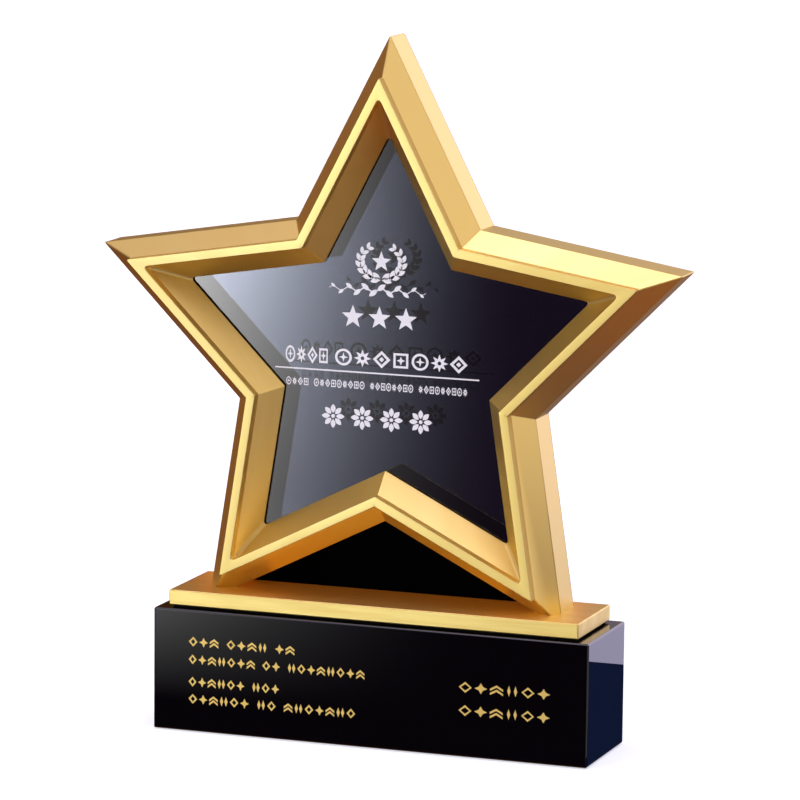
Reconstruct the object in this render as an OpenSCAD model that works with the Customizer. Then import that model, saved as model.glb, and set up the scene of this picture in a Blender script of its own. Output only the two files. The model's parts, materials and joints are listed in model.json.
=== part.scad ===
// Star trophy: a gold rim around a dark crystal star, standing on a gold plate and a black block.
// +X is to the right, -Y is the front, +Z is up; the origin is under the middle of the block.

/* [Base block] */
// Height of the black block
block_h = 51.4; // [42:0.1:80]
// Ledge of block showing at each end of the plate
block_ledge_w = 5.5; // [2:0.5:20]
// Ledge of block showing in front of and behind the plate
block_ledge_d = 3.25; // [2:0.25:15]
// Polished chamfer along every edge of the block
block_chamfer = 0.6; // [0.5:0.1:2]

/* [Felt] */
// Thickness of the felt sheet under the block
felt_t = 1.4; // [1:0.1:3]
// Depth of the recess that holds the felt
felt_recess = 1; // [0.5:0.1:2]
// Border of block left around the felt
felt_margin = 6; // [4:1:15]

/* [Base plate] */
// Distance that the gold plate reaches past each leg
plate_overhang = 12.6; // [4:0.1:30]
// Plate showing in front of the star
plate_front = 3.1; // [1:0.1:15]
// Plate showing behind the star's rim
plate_back = 10.1; // [6:0.1:25]
// Thickness of the plate
plate_t = 6.5; // [5:0.1:10]
// Broken edge of the plate
plate_chamfer = 0.4; // [0.2:0.1:1]
// Thickness of the bonding pad under the plate
pad_t = 0.8; // [0.5:0.1:2]
// Border of plate left around the pad
pad_margin = 1.5; // [1:0.5:6]

/* [Star] */
// Distance from the star's middle to its tips
star_r = 132.4; // [120:0.1:159]
// Distance from the star's middle to its inner corners
waist_r = 68; // [62:0.1:76]
// Height cut off the two lower tips where they stand on the plate
leg_cut = 6.3; // [5:0.1:9]

/* [Rim section] */
// Height of the straight side wall, from the back face
side_h = 16.4; // [13:0.1:22]
// Width of the outer slope
outer_slope_w = 7.3; // [6:0.1:9]
// Rise of the outer slope
outer_slope_h = 8.8; // [6:0.1:12]
// Height of the step from the outer slope up to the land
step_h = 4.1; // [2:0.1:6]
// Width of the flat land at the front
land_w = 3.8; // [3:0.1:6]
// Height of the step from the land down to the inner slope
inner_step_h = 4; // [2:0.1:6]
// Width of the inner slope
inner_slope_w = 7.7; // [7:0.1:9]
// Height of the lip's front edge above the crystal
lip_rise = 1.3; // [1.2:0.1:2]
// Thickness of the lip at its edge
lip_t = 0.4; // [0.3:0.1:0.8]
// Wall thickness of the casting
wall = 3; // [2.5:0.1:3.6]
// Width of the hollow channel in the back of the rim
channel_w = 7.5; // [6:0.1:8]

/* [Crystal] */
// Thickness of the crystal star
crystal_t = 14; // [11:0.1:15]
// Gap between the crystal and the rim around it
crystal_gap = 0.5; // [0.3:0.1:1]
// Thickness of the black sheet behind the crystal
backing_t = 0.5; // [0.3:0.1:1]
// Air gap between the crystal and its black sheet
backing_gap = 0.05; // [0.03:0.01:0.1]
// Thickness of the foam pad between the black sheet and the rear cover
rear_pad_t = 0.7; // [0.4:0.1:2]
// Distance that the seal stays back from the lip's edge
seal_setback = 0.5; // [0.2:0.1:1]

/* [Rear cover] */
// Thickness of the black rear cover
cover_t = 1.5; // [1:0.1:3]
// Distance that the cover's edge stays inside the rim's outline
cover_inset = 0.4; // [0.2:0.1:2]

/* [Screws] */
// Thread diameter of the rear cover screws
cover_screw_d = 3; // [2.5:0.5:3]
// Length of the rear cover screws
cover_screw_l = 10; // [8:1:12]
// Thread diameter of the leg screws
leg_screw_d = 4; // [3:0.5:4]
// Depth of thread that the leg screws take in the legs
leg_screw_grip = 12; // [8:1:13]

/* [Print] */
// Thickness of the white print on the crystal
print_t = 0.15; // [0.1:0.05:0.4]
// Distance of the print's middle from the star's middle, to the right
print_x = -4.8; // [-6:0.1:6]
// Height of the wreath above the star's middle
wreath_z = 40.2; // [38:0.1:42]
// Height of the scroll above the star's middle
scroll_z = 27.6; // [26:0.1:29]
// Height of the three stars above the star's middle
stars_z = 16; // [14:0.1:18]
// Height of the title row above the star's middle
title_z = -1; // [-2:0.1:5]
// Height of the rule above the star's middle
rule_z = -6.9; // [-8:0.1:-6]
// Height of the subtitle row above the star's middle
subtitle_z = -12.3; // [-15:0.1:-10]
// Height of the rosettes above the star's middle
rosette_z = -25.9; // [-28:0.1:-22]
// Length of the title row
title_l = 82; // [60:0.1:84]
// Length of the rule
rule_l = 89.4; // [60:0.1:90]
// Length of the subtitle row
subtitle_l = 80.2; // [60:0.1:84]

/* [Base marks] */
// Depth of the engraved marks on the block
mark_depth = 0.3; // [0.2:0.05:0.5]
// Height of the engraved marks
mark_h = 4.2; // [3:0.1:5]
// Distance of the engraved rows from the block's ends
mark_margin = 15.4; // [8:0.1:25]

/* [Hidden] */
$fn = 48;
slip = 0.05;          // play between a screw and its tapped hole
cover_play = 0.15;    // more play around the screws where they pass through the rear cover
plate_play = 0.2;     // more play around the screws where they pass through the plate
head_play = 0.7;      // room around and below the leg screws' countersunk heads
head_sink = 0.5;      // how far below the plate the cones of the countersinks start
felt_play = 0.2;      // gap between the felt and the side of its recess
pad_gap = 1;          // distance that the rear pad stays back from the crystal's edge
past = 1;             // how far a cut runs past the face it goes through

// Heights
block_z = felt_t - felt_recess;
block_top = block_z + block_h;
plate_bottom = block_top + pad_t;
plate_top = plate_bottom + plate_t;
star_z = plate_top - leg_cut + star_r * cos(36);

// Angles of the star: half of a tip, and between a side and the radius at an inner corner
tip_half = atan2(waist_r * sin(36), star_r - waist_r * cos(36));
waist_turn = 36 + tip_half;

// Rim section, u inwards from the outline and v forwards from the back face
land_u = outer_slope_w;
land_end_u = land_u + land_w;
lip_u = land_end_u + inner_slope_w;
slope_top = side_h + outer_slope_h;
land_top = slope_top + step_h;
inner_slope_top = land_top - inner_step_h;
crystal_back = rear_pad_t + backing_t + backing_gap;
crystal_front = crystal_back + crystal_t;
lip_front = crystal_front + lip_rise;
lip_back = lip_front - lip_t;
channel_u = wall + channel_w;
channel_top = slope_top - 1.5 * wall;
pocket_u = channel_u + wall;
crystal_u = pocket_u + crystal_gap;
boss_u = wall + channel_w / 2;
boss_r = channel_w / 2 + 1;

// Screws
leg_hole_r = leg_screw_d / 2 + slip;
leg_head_r = leg_screw_d;
leg_root_h = leg_screw_grip + wall;
cover_hole_r = cover_screw_d / 2 + slip;
cover_head_r = 0.95 * cover_screw_d;
cover_head_h = 0.55 * cover_screw_d;
boss_radius = waist_r - boss_u / sin(waist_turn);

// Plate and block, sized around the star that they carry
plate_d = plate_front + land_top + plate_back;
star_back_y = plate_d / 2 - plate_back;
block_d = plate_d + 2 * block_ledge_d;

// Where a leg's two sides meet the top of the plate
tip_x = star_r * sin(36);
waist_x = waist_r * cos(18);
waist_z = star_z - waist_r * sin(18);
crotch_z = star_z - waist_r;
tip_z = star_z - star_r * cos(36);
leg_outer_x = tip_x - (tip_x - waist_x) * (plate_top - tip_z) / (waist_z - tip_z);
leg_inner_x = tip_x - tip_x * (plate_top - tip_z) / (crotch_z - tip_z);
leg_x = (leg_outer_x + leg_inner_x) / 2;
leg_y = star_back_y - side_h / 2;
plate_w = 2 * (leg_outer_x + plate_overhang);
block_w = plate_w + 2 * block_ledge_w;

// The scale that keeps the print inside the rim's opening, drawn for an opening with this half width
art_waist_x = 44.75;
open_waist_x = (waist_r - lip_u / sin(waist_turn)) * cos(18);
art = open_waist_x / art_waist_x;

// Share of its cell that a mark in a row fills
mark_fill = 0.84;

// Marks on the block: their line width, and each row's height above the block's middle, length and groups
mark_line = 0.75;
left_rows = [[12.4, 47.8, [3, 4, 2]], [4.9, 78.6, [7, 2, 8]],
             [-4.6, 41.2, [6, 3]], [-11.9, 74.8, [6, 2, 7]]];
right_rows = [[3.5, 40.4, [6]], [-6.2, 40.4, [6]]];

// One corner of the star at inset u: even ones are tips, odd ones are inner corners
function corner(i, u) =
    let (r = i % 2 == 0 ? star_r - u / sin(tip_half) : waist_r - u / sin(waist_turn))
    [r * cos(90 - 36 * i), r * sin(90 - 36 * i)];

module star_2d(u) {
    polygon([for (i = [0:9]) corner(i, u)]);
}

module at_star_back() {
    translate([0, star_back_y, star_z]) rotate([90, 0, 0]) children();
}

// Stands a flat shape up, facing the front: v is how far its back lies in front of the rim's back face
module stand(v, t) {
    at_star_back() translate([0, 0, v]) linear_extrude(t) children();
}

module star_slab(u, v, t) {
    stand(v, t) star_2d(u);
}

module keep_above_plate() {
    difference() {
        children();
        translate([-star_r, -block_d, tip_z - star_r])
            cube([2 * star_r, 2 * block_d, plate_top - tip_z + star_r]);
    }
}

// A ring that runs round the star: each section point [u, v] becomes a loop of ten corners
module star_ring(section) {
    n = len(section);
    polyhedron(
        points = [for (p = section, i = [0:9]) [corner(i, p[0])[0], corner(i, p[0])[1], p[1]]],
        faces = [for (k = [0:n - 1], i = [0:9]) let (j = (i + 1) % 10, m = (k + 1) % n)
                 [10 * k + i, 10 * k + j, 10 * m + j, 10 * m + i]]);
}

module at_bosses() {
    at_star_back() for (i = [1:2:9])
        translate([boss_radius * cos(90 - 36 * i), boss_radius * sin(90 - 36 * i), 0]) children();
}

module at_legs() {
    for (side = [-1, 1]) translate([side * leg_x, leg_y, 0]) children();
}

// Hollow channel in the back of the rim, which stops above the feet
// and leaves a boss at each inner corner
module rim_channel() {
    difference() {
        at_star_back() star_ring([[wall, -past], [wall, side_h - wall / 3], [land_u, channel_top],
                                  [channel_u, channel_top], [channel_u, -past]]);
        at_bosses() translate([0, 0, -2 * past]) cylinder(r = boss_r, h = land_top);
        translate([-star_r, -block_d, tip_z])
            cube([2 * star_r, 2 * block_d, plate_top + leg_root_h - tip_z]);
    }
}

module star_frame() {
    color("goldenrod") keep_above_plate() difference() {
        at_star_back() star_ring([[0, 0], [0, side_h], [land_u, slope_top], [land_u, land_top],
                                  [land_end_u, land_top], [land_end_u, inner_slope_top],
                                  [lip_u, lip_front], [lip_u, lip_back],
                                  [pocket_u, lip_back], [pocket_u, 0]]);
        rim_channel();
        at_bosses() translate([0, 0, -past]) cylinder(r = cover_hole_r, h = cover_screw_l + past);
        at_legs() translate([0, 0, plate_top - past])
            cylinder(r = leg_hole_r, h = leg_screw_grip + 1.5 * past);
    }
}

module crystal_star() {
    color([0.1, 0.1, 0.16, 0.6]) star_slab(crystal_u, crystal_back, crystal_t);
}

module crystal_backing() {
    color("black") star_slab(crystal_u, rear_pad_t, backing_t);
}

module rear_pad() {
    color("dimgray") star_slab(crystal_u + pad_gap, 0, rear_pad_t);
}

// Foam ring that the lip presses against the crystal's front
module front_seal() {
    seal_t = lip_back - crystal_front;
    color([0.08, 0.08, 0.08]) difference() {
        star_slab(crystal_u, crystal_front, seal_t);
        star_slab(lip_u - seal_setback, crystal_front - past, seal_t + 2 * past);
    }
}

// Rear cover: the star's outline without its lowest inner corner, so it fills the gap between the legs
module rear_cover() {
    color([0.06, 0.06, 0.07]) keep_above_plate() difference() {
        stand(-cover_t, cover_t) polygon([for (i = [0:9]) if (i != 5) corner(i, cover_inset)]);
        at_bosses() translate([0, 0, -cover_t - past])
            cylinder(r = cover_hole_r + cover_play, h = cover_t + 2 * past);
    }
}

module rear_cover_screws() {
    socket_r = 0.4 * cover_screw_d;
    color("black") at_bosses() difference() {
        union() {
            translate([0, 0, -cover_t]) cylinder(d = cover_screw_d, h = cover_screw_l);
            translate([0, 0, -cover_t - cover_head_h]) cylinder(r = cover_head_r, h = cover_head_h);
        }
        translate([0, 0, -cover_t - cover_head_h - past])
            cylinder(r = socket_r, h = past + 0.6 * cover_head_h, $fn = 6);
    }
}

module leg_screws() {
    head_h = leg_head_r - leg_screw_d / 2;
    color("silver") at_legs() translate([0, 0, plate_bottom]) difference() {
        union() {
            cylinder(d = leg_screw_d, h = plate_t + leg_screw_grip);
            cylinder(r1 = leg_head_r, r2 = leg_screw_d / 2, h = head_h);
        }
        translate([0, 0, -past]) cylinder(d = 0.6 * leg_screw_d, h = past + 0.6 * head_h, $fn = 6);
    }
}

// A block with its twelve edges chamfered, standing on z = 0
module chamfered_block(w, d, h, c) {
    module face(a, b) {
        polygon([[-a / 2 + c, -b / 2], [a / 2 - c, -b / 2], [a / 2, -b / 2 + c], [a / 2, b / 2 - c],
                 [a / 2 - c, b / 2], [-a / 2 + c, b / 2], [-a / 2, b / 2 - c], [-a / 2, -b / 2 + c]]);
    }
    translate([0, 0, h / 2]) intersection() {
        linear_extrude(h, center = true) face(w, d);
        rotate([90, 0, 0]) linear_extrude(d, center = true) face(w, h);
        rotate([90, 0, 90]) linear_extrude(w, center = true) face(d, h);
    }
}

module base_plate() {
    color("goldenrod") difference() {
        translate([0, 0, plate_bottom]) chamfered_block(plate_w, plate_d, plate_t, plate_chamfer);
        at_legs() translate([0, 0, plate_bottom - past])
            cylinder(r = leg_hole_r + plate_play, h = plate_t + 2 * past);
        at_legs() translate([0, 0, plate_bottom - head_sink])
            cylinder(r1 = leg_head_r + head_play, r2 = leg_screw_d / 2,
                     h = leg_head_r - leg_screw_d / 2 + head_play);
    }
}

module plate_pad() {
    color([0.1, 0.1, 0.1]) translate([-plate_w / 2 + pad_margin, -plate_d / 2 + pad_margin, block_top])
        cube([plate_w - 2 * pad_margin, plate_d - 2 * pad_margin, pad_t]);
}

module base_block() {
    color([0.03, 0.03, 0.04]) difference() {
        translate([0, 0, block_z]) chamfered_block(block_w, block_d, block_h, block_chamfer);
        translate([0, 0, block_z - past]) felt_shape(felt_recess + past, felt_play);
        engraved(mark_depth + past) {
            left_marks();
            right_marks();
        }
    }
}

module felt_shape(t, play) {
    w = block_w - 2 * felt_margin + 2 * play;
    d = block_d - 2 * felt_margin + 2 * play;
    translate([-w / 2, -d / 2, 0]) cube([w, d, t]);
}

module base_felt() {
    color([0.12, 0.12, 0.13]) felt_shape(felt_t, 0);
}

// Marks: a small family of plain ornaments, each drawn in a cell of width w and height h
module lozenge(w, h) {
    polygon([[0, -h / 2], [w / 2, 0], [0, h / 2], [-w / 2, 0]]);
}

module open_lozenge(w, h, line) {
    difference() {
        lozenge(w, h);
        lozenge(w - 2.6 * line, h - 2.6 * line);
    }
}

module four_point_star(w, h) {
    polygon([for (k = [0:7]) let (f = k % 2 == 0 ? 0.5 : 0.24)
        [f * w * cos(45 * k), f * h * sin(45 * k)]]);
}

module small_star(tip, waist) {
    polygon([for (k = [0:9]) let (r = k % 2 == 0 ? tip : waist)
        r * [cos(90 - 36 * k), sin(90 - 36 * k)]]);
}

module chevrons(w, h, line) {
    for (y = [-h / 2, -h / 8]) translate([0, y])
        polygon([[-w / 2, 0], [0, h / 3], [w / 2, 0], [w / 2, line * 1.3], [0, h / 3 + line * 1.3],
                 [-w / 2, line * 1.3]]);
}

module twin_bars(w, h, line) {
    for (x = [-w / 4, w / 4]) translate([x, 0]) lozenge(line * 2, h);
}

module mark(k, w, h, line) {
    if (k % 4 == 0) open_lozenge(w, h, line);
    if (k % 4 == 1) four_point_star(w, h);
    if (k % 4 == 2) chevrons(w, h, line);
    if (k % 4 == 3) twin_bars(w, h, line);
}

// How many marks come before group g
function before(groups, g) = g <= 0 ? 0 : groups[g - 1] + before(groups, g - 1);

// A row that starts at x = 0 and is length long: groups of marks, with gap cells between groups
module mark_row(groups, length, h, line, gap = 0.6) {
    count = before(groups, len(groups));
    pitch = length / (count + gap * (len(groups) - 1));
    for (g = [0:len(groups) - 1]) for (k = [0:groups[g] - 1]) {
        n = before(groups, g) + k;
        translate([(n + g * gap + 0.5) * pitch, 0]) mark(n + g, mark_fill * pitch, h, line);
    }
}

// White print on the crystal
module printed(x, z) {
    stand(crystal_front, print_t) scale(art) translate([print_x + x, z]) children();
}

module wreath_print() {
    wreath_x = 1.6;
    wreath_r = 8.6;
    leaf_l = 5;
    color("white") printed(wreath_x, wreath_z) {
        for (side = [-1, 1]) for (k = [0:5]) {
            turn = 28 * k - 80;
            translate([side * wreath_r * cos(turn), wreath_r * 0.8 * sin(turn)])
                rotate([0, 0, side * (turn + 78)]) lozenge(leaf_l * 0.42, leaf_l);
        }
        small_star(4.2, 1.7);
    }
}

module scroll_print() {
    color("white") printed(0, scroll_z) {
        four_point_star(6, 5.4);
        for (side = [-1, 1]) for (k = [1:6])
            translate([side * (1.4 + 3.1 * k), (k % 2 == 0 ? 0.7 : -0.7)])
                rotate([0, 0, side * (k % 2 == 0 ? 58 : 122)]) lozenge(1.7 - 0.14 * k, 5.4 - 0.45 * k);
    }
}

module three_star_print() {
    color("white") for (k = [-1:1]) printed(1 + 11.6 * k, stars_z)
        small_star(5, 2.1);
}

module title_print() {
    color("white") printed(-title_l / 2, title_z) mark_row([4, 7], title_l, 7, 1);
}

module rule_print() {
    color("white") printed(0, rule_z) square([rule_l, 0.6], center = true);
}

module subtitle_print() {
    color("white") printed(-subtitle_l / 2, subtitle_z) mark_row([4, 9, 8, 9], subtitle_l, 3.4, 0.45);
}

module rosette_print() {
    color("white") for (k = [0:3]) printed(-18.9 + 12.8 * k, rosette_z) for (p = [0:7])
        rotate([0, 0, 45 * p]) translate([0, 3]) lozenge(1.8, 4);
}

// Gold-filled engraving on the front of the block; a shape's y is its height above the block's middle
module engraved(t) {
    translate([0, -block_d / 2 + mark_depth, block_z + block_h / 2])
        rotate([90, 0, 0]) linear_extrude(t) children();
}

module left_marks() {
    for (row = left_rows) translate([-block_w / 2 + mark_margin, row[0]])
        mark_row(row[2], row[1], mark_h, mark_line);
}

module right_marks() {
    for (row = right_rows) translate([block_w / 2 - mark_margin - row[1], row[0]])
        mark_row(row[2], row[1], 1.1 * mark_h, mark_line);
}

module base_marks_left() {
    color("gold") engraved(mark_depth - slip) left_marks();
}

module base_marks_right() {
    color("gold") engraved(mark_depth - slip) right_marks();
}

star_frame();
crystal_star();
crystal_backing();
front_seal();
rear_pad();
rear_cover();
rear_cover_screws();
leg_screws();
base_plate();
plate_pad();
base_block();
base_felt();
wreath_print();
scroll_print();
three_star_print();
title_print();
rule_print();
subtitle_print();
rosette_print();
base_marks_left();
base_marks_right();
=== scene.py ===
import json
import math
import bpy
import bmesh
from mathutils import Matrix, Vector

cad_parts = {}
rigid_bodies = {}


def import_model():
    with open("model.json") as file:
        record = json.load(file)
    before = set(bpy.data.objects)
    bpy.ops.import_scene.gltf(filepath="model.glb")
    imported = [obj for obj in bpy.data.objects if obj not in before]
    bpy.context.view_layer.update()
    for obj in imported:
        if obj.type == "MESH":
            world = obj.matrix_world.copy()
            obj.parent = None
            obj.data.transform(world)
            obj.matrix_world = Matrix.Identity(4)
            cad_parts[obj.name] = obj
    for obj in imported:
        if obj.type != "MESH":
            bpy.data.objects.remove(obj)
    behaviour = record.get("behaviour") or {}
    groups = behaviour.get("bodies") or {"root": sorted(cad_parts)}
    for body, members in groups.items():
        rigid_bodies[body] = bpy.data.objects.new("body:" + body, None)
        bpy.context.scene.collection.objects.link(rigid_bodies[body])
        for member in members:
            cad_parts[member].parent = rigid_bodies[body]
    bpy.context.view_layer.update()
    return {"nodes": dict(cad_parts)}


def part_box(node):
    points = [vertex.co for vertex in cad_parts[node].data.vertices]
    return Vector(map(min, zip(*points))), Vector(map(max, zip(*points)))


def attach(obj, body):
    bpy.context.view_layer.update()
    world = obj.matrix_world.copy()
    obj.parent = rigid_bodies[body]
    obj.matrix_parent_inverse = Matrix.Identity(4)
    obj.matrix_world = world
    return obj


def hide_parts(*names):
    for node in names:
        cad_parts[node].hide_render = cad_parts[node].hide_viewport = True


# Star trophy: a brushed gold rim round a clear crystal star with a black back, on a gold plate
# and a black crystal block. Everything is in metres; +X is right, -Y is the front, +Z is up.

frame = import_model()
nodes = frame["nodes"]
mm = 0.001
print("frame loaded:", len(nodes), "nodes")


class Wire:  # one socket, which takes part in Python's own arithmetic
    def __init__(self, graph, socket):
        self.graph, self.socket = graph, socket

    def math(self, operation, *others):
        values = dict(enumerate((self,) + others))
        return self.graph.add("ShaderNodeMath", {"operation": operation}, values)

    def out(self, name):  # another output of the same node
        return Wire(self.graph, self.socket.node.outputs[name])

    def __add__(self, other):
        return self.math("ADD", other)

    def __radd__(self, other):
        return self.math("ADD", other)

    def __sub__(self, other):
        return self.math("SUBTRACT", other)

    def __rsub__(self, other):
        return self.graph.value(other).math("SUBTRACT", self)

    def __mul__(self, other):
        return self.math("MULTIPLY", other)

    def __rmul__(self, other):
        return self.math("MULTIPLY", other)

    def __truediv__(self, other):
        return self.math("DIVIDE", other)

    def __pow__(self, other):
        return self.math("POWER", other)


class Graph:  # a node tree, and the one way that nodes are put into it
    def __init__(self, tree):
        self.tree = tree

    def add(self, kind, settings=None, inputs=None, output=0):
        node = self.tree.nodes.new(kind)
        for name, value in (settings or {}).items():
            setattr(node, name, value)
        for name, value in (inputs or {}).items():
            if isinstance(value, Wire):
                self.tree.links.new(value.socket, node.inputs[name])
            else:
                node.inputs[name].default_value = value
        return Wire(self, node.outputs[output]) if len(node.outputs) else node

    def join(self, *parts):
        node = self.tree.nodes.new("GeometryNodeJoinGeometry")
        for part in reversed(parts):
            self.tree.links.new(part.socket, node.inputs[0])
        return Wire(self, node.outputs[0])

    def value(self, number):
        wire = self.add("ShaderNodeValue")
        wire.socket.default_value = number
        return wire

    def noise(self, vector, scale, detail=2, roughness=0.5):
        return self.add("ShaderNodeTexNoise", {}, {"Vector": vector, "Scale": scale, "Detail": detail,
                                                    "Roughness": roughness})

    def mapRange(self, wire, low, high, toLow, toHigh):
        return self.add("ShaderNodeMapRange", {}, {"Value": wire, "From Min": low, "From Max": high,
                                                    "To Min": toLow, "To Max": toHigh})

    def mixColour(self, factor, first, second):
        return self.add("ShaderNodeMix", {"data_type": "RGBA"}, {0: factor, 6: first, 7: second}, 2)

    def stretch(self, vector, scale, turn=(0, 0, 0)):
        return self.add("ShaderNodeMapping", {}, {"Vector": vector, "Scale": scale, "Rotation": turn})

    def bump(self, height, strength, distance):
        return self.add("ShaderNodeBump", {}, {"Height": height, "Strength": strength, "Distance": distance})


def rgb(red, green, blue):
    return (red, green, blue, 1)


def newMaterial(name):
    material = bpy.data.materials.new(name)
    material.use_nodes = True
    material.node_tree.nodes.clear()
    return material, Graph(material.node_tree)


def finishMaterial(graph, shader):
    graph.add("ShaderNodeOutputMaterial", {}, {"Surface": shader})


def objectPoint(graph):
    return graph.add("ShaderNodeTexCoord").out("Object")


gold = {"light": rgb(1.0, 0.80, 0.28), "deep": rgb(0.95, 0.69, 0.20), "roughness": 0.45,
        "streakDepth": 0.008 * mm}


def brushedMetal(name, look, point, streakScale):
    material, graph = newMaterial(name)
    streaks = graph.noise(graph.stretch(point(graph), streakScale), 1, 3, 0.6)
    bands = graph.noise(graph.stretch(point(graph), [0.08 * s + 6 for s in streakScale]), 1, 3, 0.55)
    shade = graph.mapRange(bands, 0.35, 0.65, 0, 0.5) + graph.mapRange(streaks, 0.35, 0.65, 0, 0.5)
    colour = graph.mixColour(shade, look["light"], look["deep"])
    roughness = look["roughness"] + 0.10 * (streaks - 0.5) + 0.12 * (bands - 0.5)
    shader = graph.add("ShaderNodeBsdfPrincipled", {}, {
        "Base Color": colour, "Metallic": 1.0, "Roughness": roughness,
        "Normal": graph.bump(streaks, 0.5, look["streakDepth"])})
    finishMaterial(graph, shader)
    return material


def rimPoint(graph):  # along the bar, and across its section
    along = graph.add("ShaderNodeAttribute", {"attribute_name": "along"}).out("Fac")
    across = graph.add("ShaderNodeAttribute", {"attribute_name": "across"}).out("Fac")
    return graph.add("ShaderNodeCombineXYZ", {}, {"X": along, "Y": across})


crystal = {"tint": rgb(0.62, 0.74, 0.97), "ior": 1.5, "mirror": 0.135}


def clearCrystal():
    material, graph = newMaterial("clear_crystal")
    haze = graph.noise(objectPoint(graph), 900, 2)
    glass = graph.add("ShaderNodeBsdfPrincipled", {}, {
        "Base Color": crystal["tint"], "Transmission Weight": 1.0, "IOR": crystal["ior"],
        "Roughness": graph.mapRange(haze, 0.55, 0.75, 0.0, 0.012)})
    mirror = graph.add("ShaderNodeBsdfAnisotropic", {}, {"Color": rgb(1, 1, 1), "Roughness": 0.02})
    finishMaterial(graph, graph.add("ShaderNodeMixShader", {}, {0: crystal["mirror"], 1: glass, 2: mirror}))
    return material


def groundCrystal():  # the star's sawn and ground edge
    material, graph = newMaterial("ground_crystal")
    grain = graph.noise(objectPoint(graph), 2500, 3)
    colour = graph.mixColour(grain, rgb(0.085, 0.076, 0.074), rgb(0.165, 0.148, 0.142))
    finishMaterial(graph, graph.add("ShaderNodeBsdfPrincipled", {}, {
        "Base Color": colour, "Roughness": 0.6, "Normal": graph.bump(grain, 0.4, 0.02 * mm)}))
    return material


def blackSheet():
    material, graph = newMaterial("black_sheet")
    cloud = graph.noise(objectPoint(graph), 30, 3)
    colour = graph.mixColour(cloud, rgb(0.018, 0.025, 0.060), rgb(0.026, 0.034, 0.074))
    finishMaterial(graph, graph.add("ShaderNodeBsdfPrincipled", {}, {
        "Base Color": colour, "Metallic": 1.0, "Roughness": 0.03}))
    return material


def blackCrystal():
    material, graph = newMaterial("black_crystal")
    smear = graph.noise(graph.stretch(objectPoint(graph), (14, 14, 40)), 1, 4, 0.6)
    dust = graph.noise(objectPoint(graph), 1600, 1)
    specks = graph.mapRange(dust, 0.76, 0.80, 0, 1)
    finishMaterial(graph, graph.add("ShaderNodeBsdfPrincipled", {}, {
        "Base Color": graph.mixColour(specks, rgb(0.0004, 0.0004, 0.0006), rgb(0.006, 0.006, 0.007)),
        "Roughness": graph.mapRange(smear, 0.45, 0.75, 0.015, 0.03), "IOR": 1.62}))
    return material


def satinBlack(name, roughness, speckle, tone, shine):
    material, graph = newMaterial(name)
    grain = graph.noise(objectPoint(graph), speckle, 2)
    colour = graph.mixColour(grain, rgb(*[0.6 * tone] * 3), rgb(*[1.4 * tone] * 3))
    finishMaterial(graph, graph.add("ShaderNodeBsdfPrincipled", {}, {
        "Base Color": colour, "Roughness": roughness + 0.15 * (grain - 0.5), "Specular IOR Level": shine,
        "Normal": graph.bump(grain, 0.3, 0.01 * mm)}))
    return material


def steel(name, colour, roughness):
    material, graph = newMaterial(name)
    grain = graph.noise(graph.stretch(objectPoint(graph), (900, 900, 90)), 1, 3)
    finishMaterial(graph, graph.add("ShaderNodeBsdfPrincipled", {}, {
        "Base Color": graph.mixColour(grain, rgb(*colour), rgb(*[0.7 * c for c in colour])),
        "Metallic": 1.0, "Roughness": roughness + 0.2 * (grain - 0.5)}))
    return material


def feltBlack():
    material, graph = newMaterial("black_felt")
    fibres = graph.noise(objectPoint(graph), 1400, 4, 0.7)
    finishMaterial(graph, graph.add("ShaderNodeBsdfPrincipled", {}, {
        "Base Color": graph.mixColour(fibres, rgb(0.006, 0.006, 0.007), rgb(0.04, 0.04, 0.044)),
        "Roughness": 0.95, "Sheen Weight": 0.4, "Normal": graph.bump(fibres, 0.8, 0.2 * mm)}))
    return material


def whiteInk():
    material, graph = newMaterial("white_ink")
    grain = graph.noise(objectPoint(graph), 5000, 2)
    finishMaterial(graph, graph.add("ShaderNodeBsdfPrincipled", {}, {
        "Base Color": graph.mixColour(grain, rgb(0.72, 0.73, 0.76), rgb(0.86, 0.86, 0.87)),
        "Roughness": 0.45}))
    return material


def goldFill():
    material, graph = newMaterial("gold_fill")
    grain = graph.noise(objectPoint(graph), 3000, 3)
    finishMaterial(graph, graph.add("ShaderNodeBsdfPrincipled", {}, {
        "Base Color": graph.mixColour(grain, rgb(0.86, 0.61, 0.13), rgb(0.97, 0.74, 0.22)),
        "Metallic": 0.35, "Roughness": 0.42 + 0.3 * (grain - 0.5),
        "Normal": graph.bump(grain, 0.4, 0.03 * mm)}))
    return material


finishes = {
    "gold_rim": brushedMetal("gold_rim", gold, rimPoint, (22, 4200, 1)),
    "gold_plate": brushedMetal("gold_plate", gold, objectPoint, (30, 2600, 900)),
    "clear_crystal": clearCrystal(), "ground_crystal": groundCrystal(), "black_sheet": blackSheet(),
    "black_crystal": blackCrystal(), "black_cover": satinBlack("black_cover", 0.38, 2200, 0.012, 0.5),
    # a near-black matte copy of the cover's finish for the cover's front faces: painted shade in the gap
    # between the legs
    "painted_shade_black": satinBlack("painted_shade_black", 0.9, 3000, 0.0012, 0.0),
    "black_foam": satinBlack("black_foam", 0.9, 3500, 0.006, 0.15),
    "black_steel": steel("black_steel", (0.05,) * 3, 0.4),
    "bright_steel": steel("bright_steel", (0.62, 0.62, 0.64), 0.3), "black_felt": feltBlack(),
    "white_ink": whiteInk(), "gold_fill": goldFill()}
print("materials made:", len(finishes))


def addPiece(name, mesh, slot, *replaced):
    piece = bpy.data.objects.new(name, mesh)
    bpy.context.scene.collection.objects.link(piece)
    if not mesh.materials:
        mesh.materials.append(finishes[slot])
    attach(piece, "root")
    if replaced:
        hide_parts(*replaced)
    return piece


def meshOf(obj):  # the object's evaluated mesh, as plain data
    bpy.context.view_layer.update()
    return bpy.data.meshes.new_from_object(obj.evaluated_get(bpy.context.evaluated_depsgraph_get()))


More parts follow.
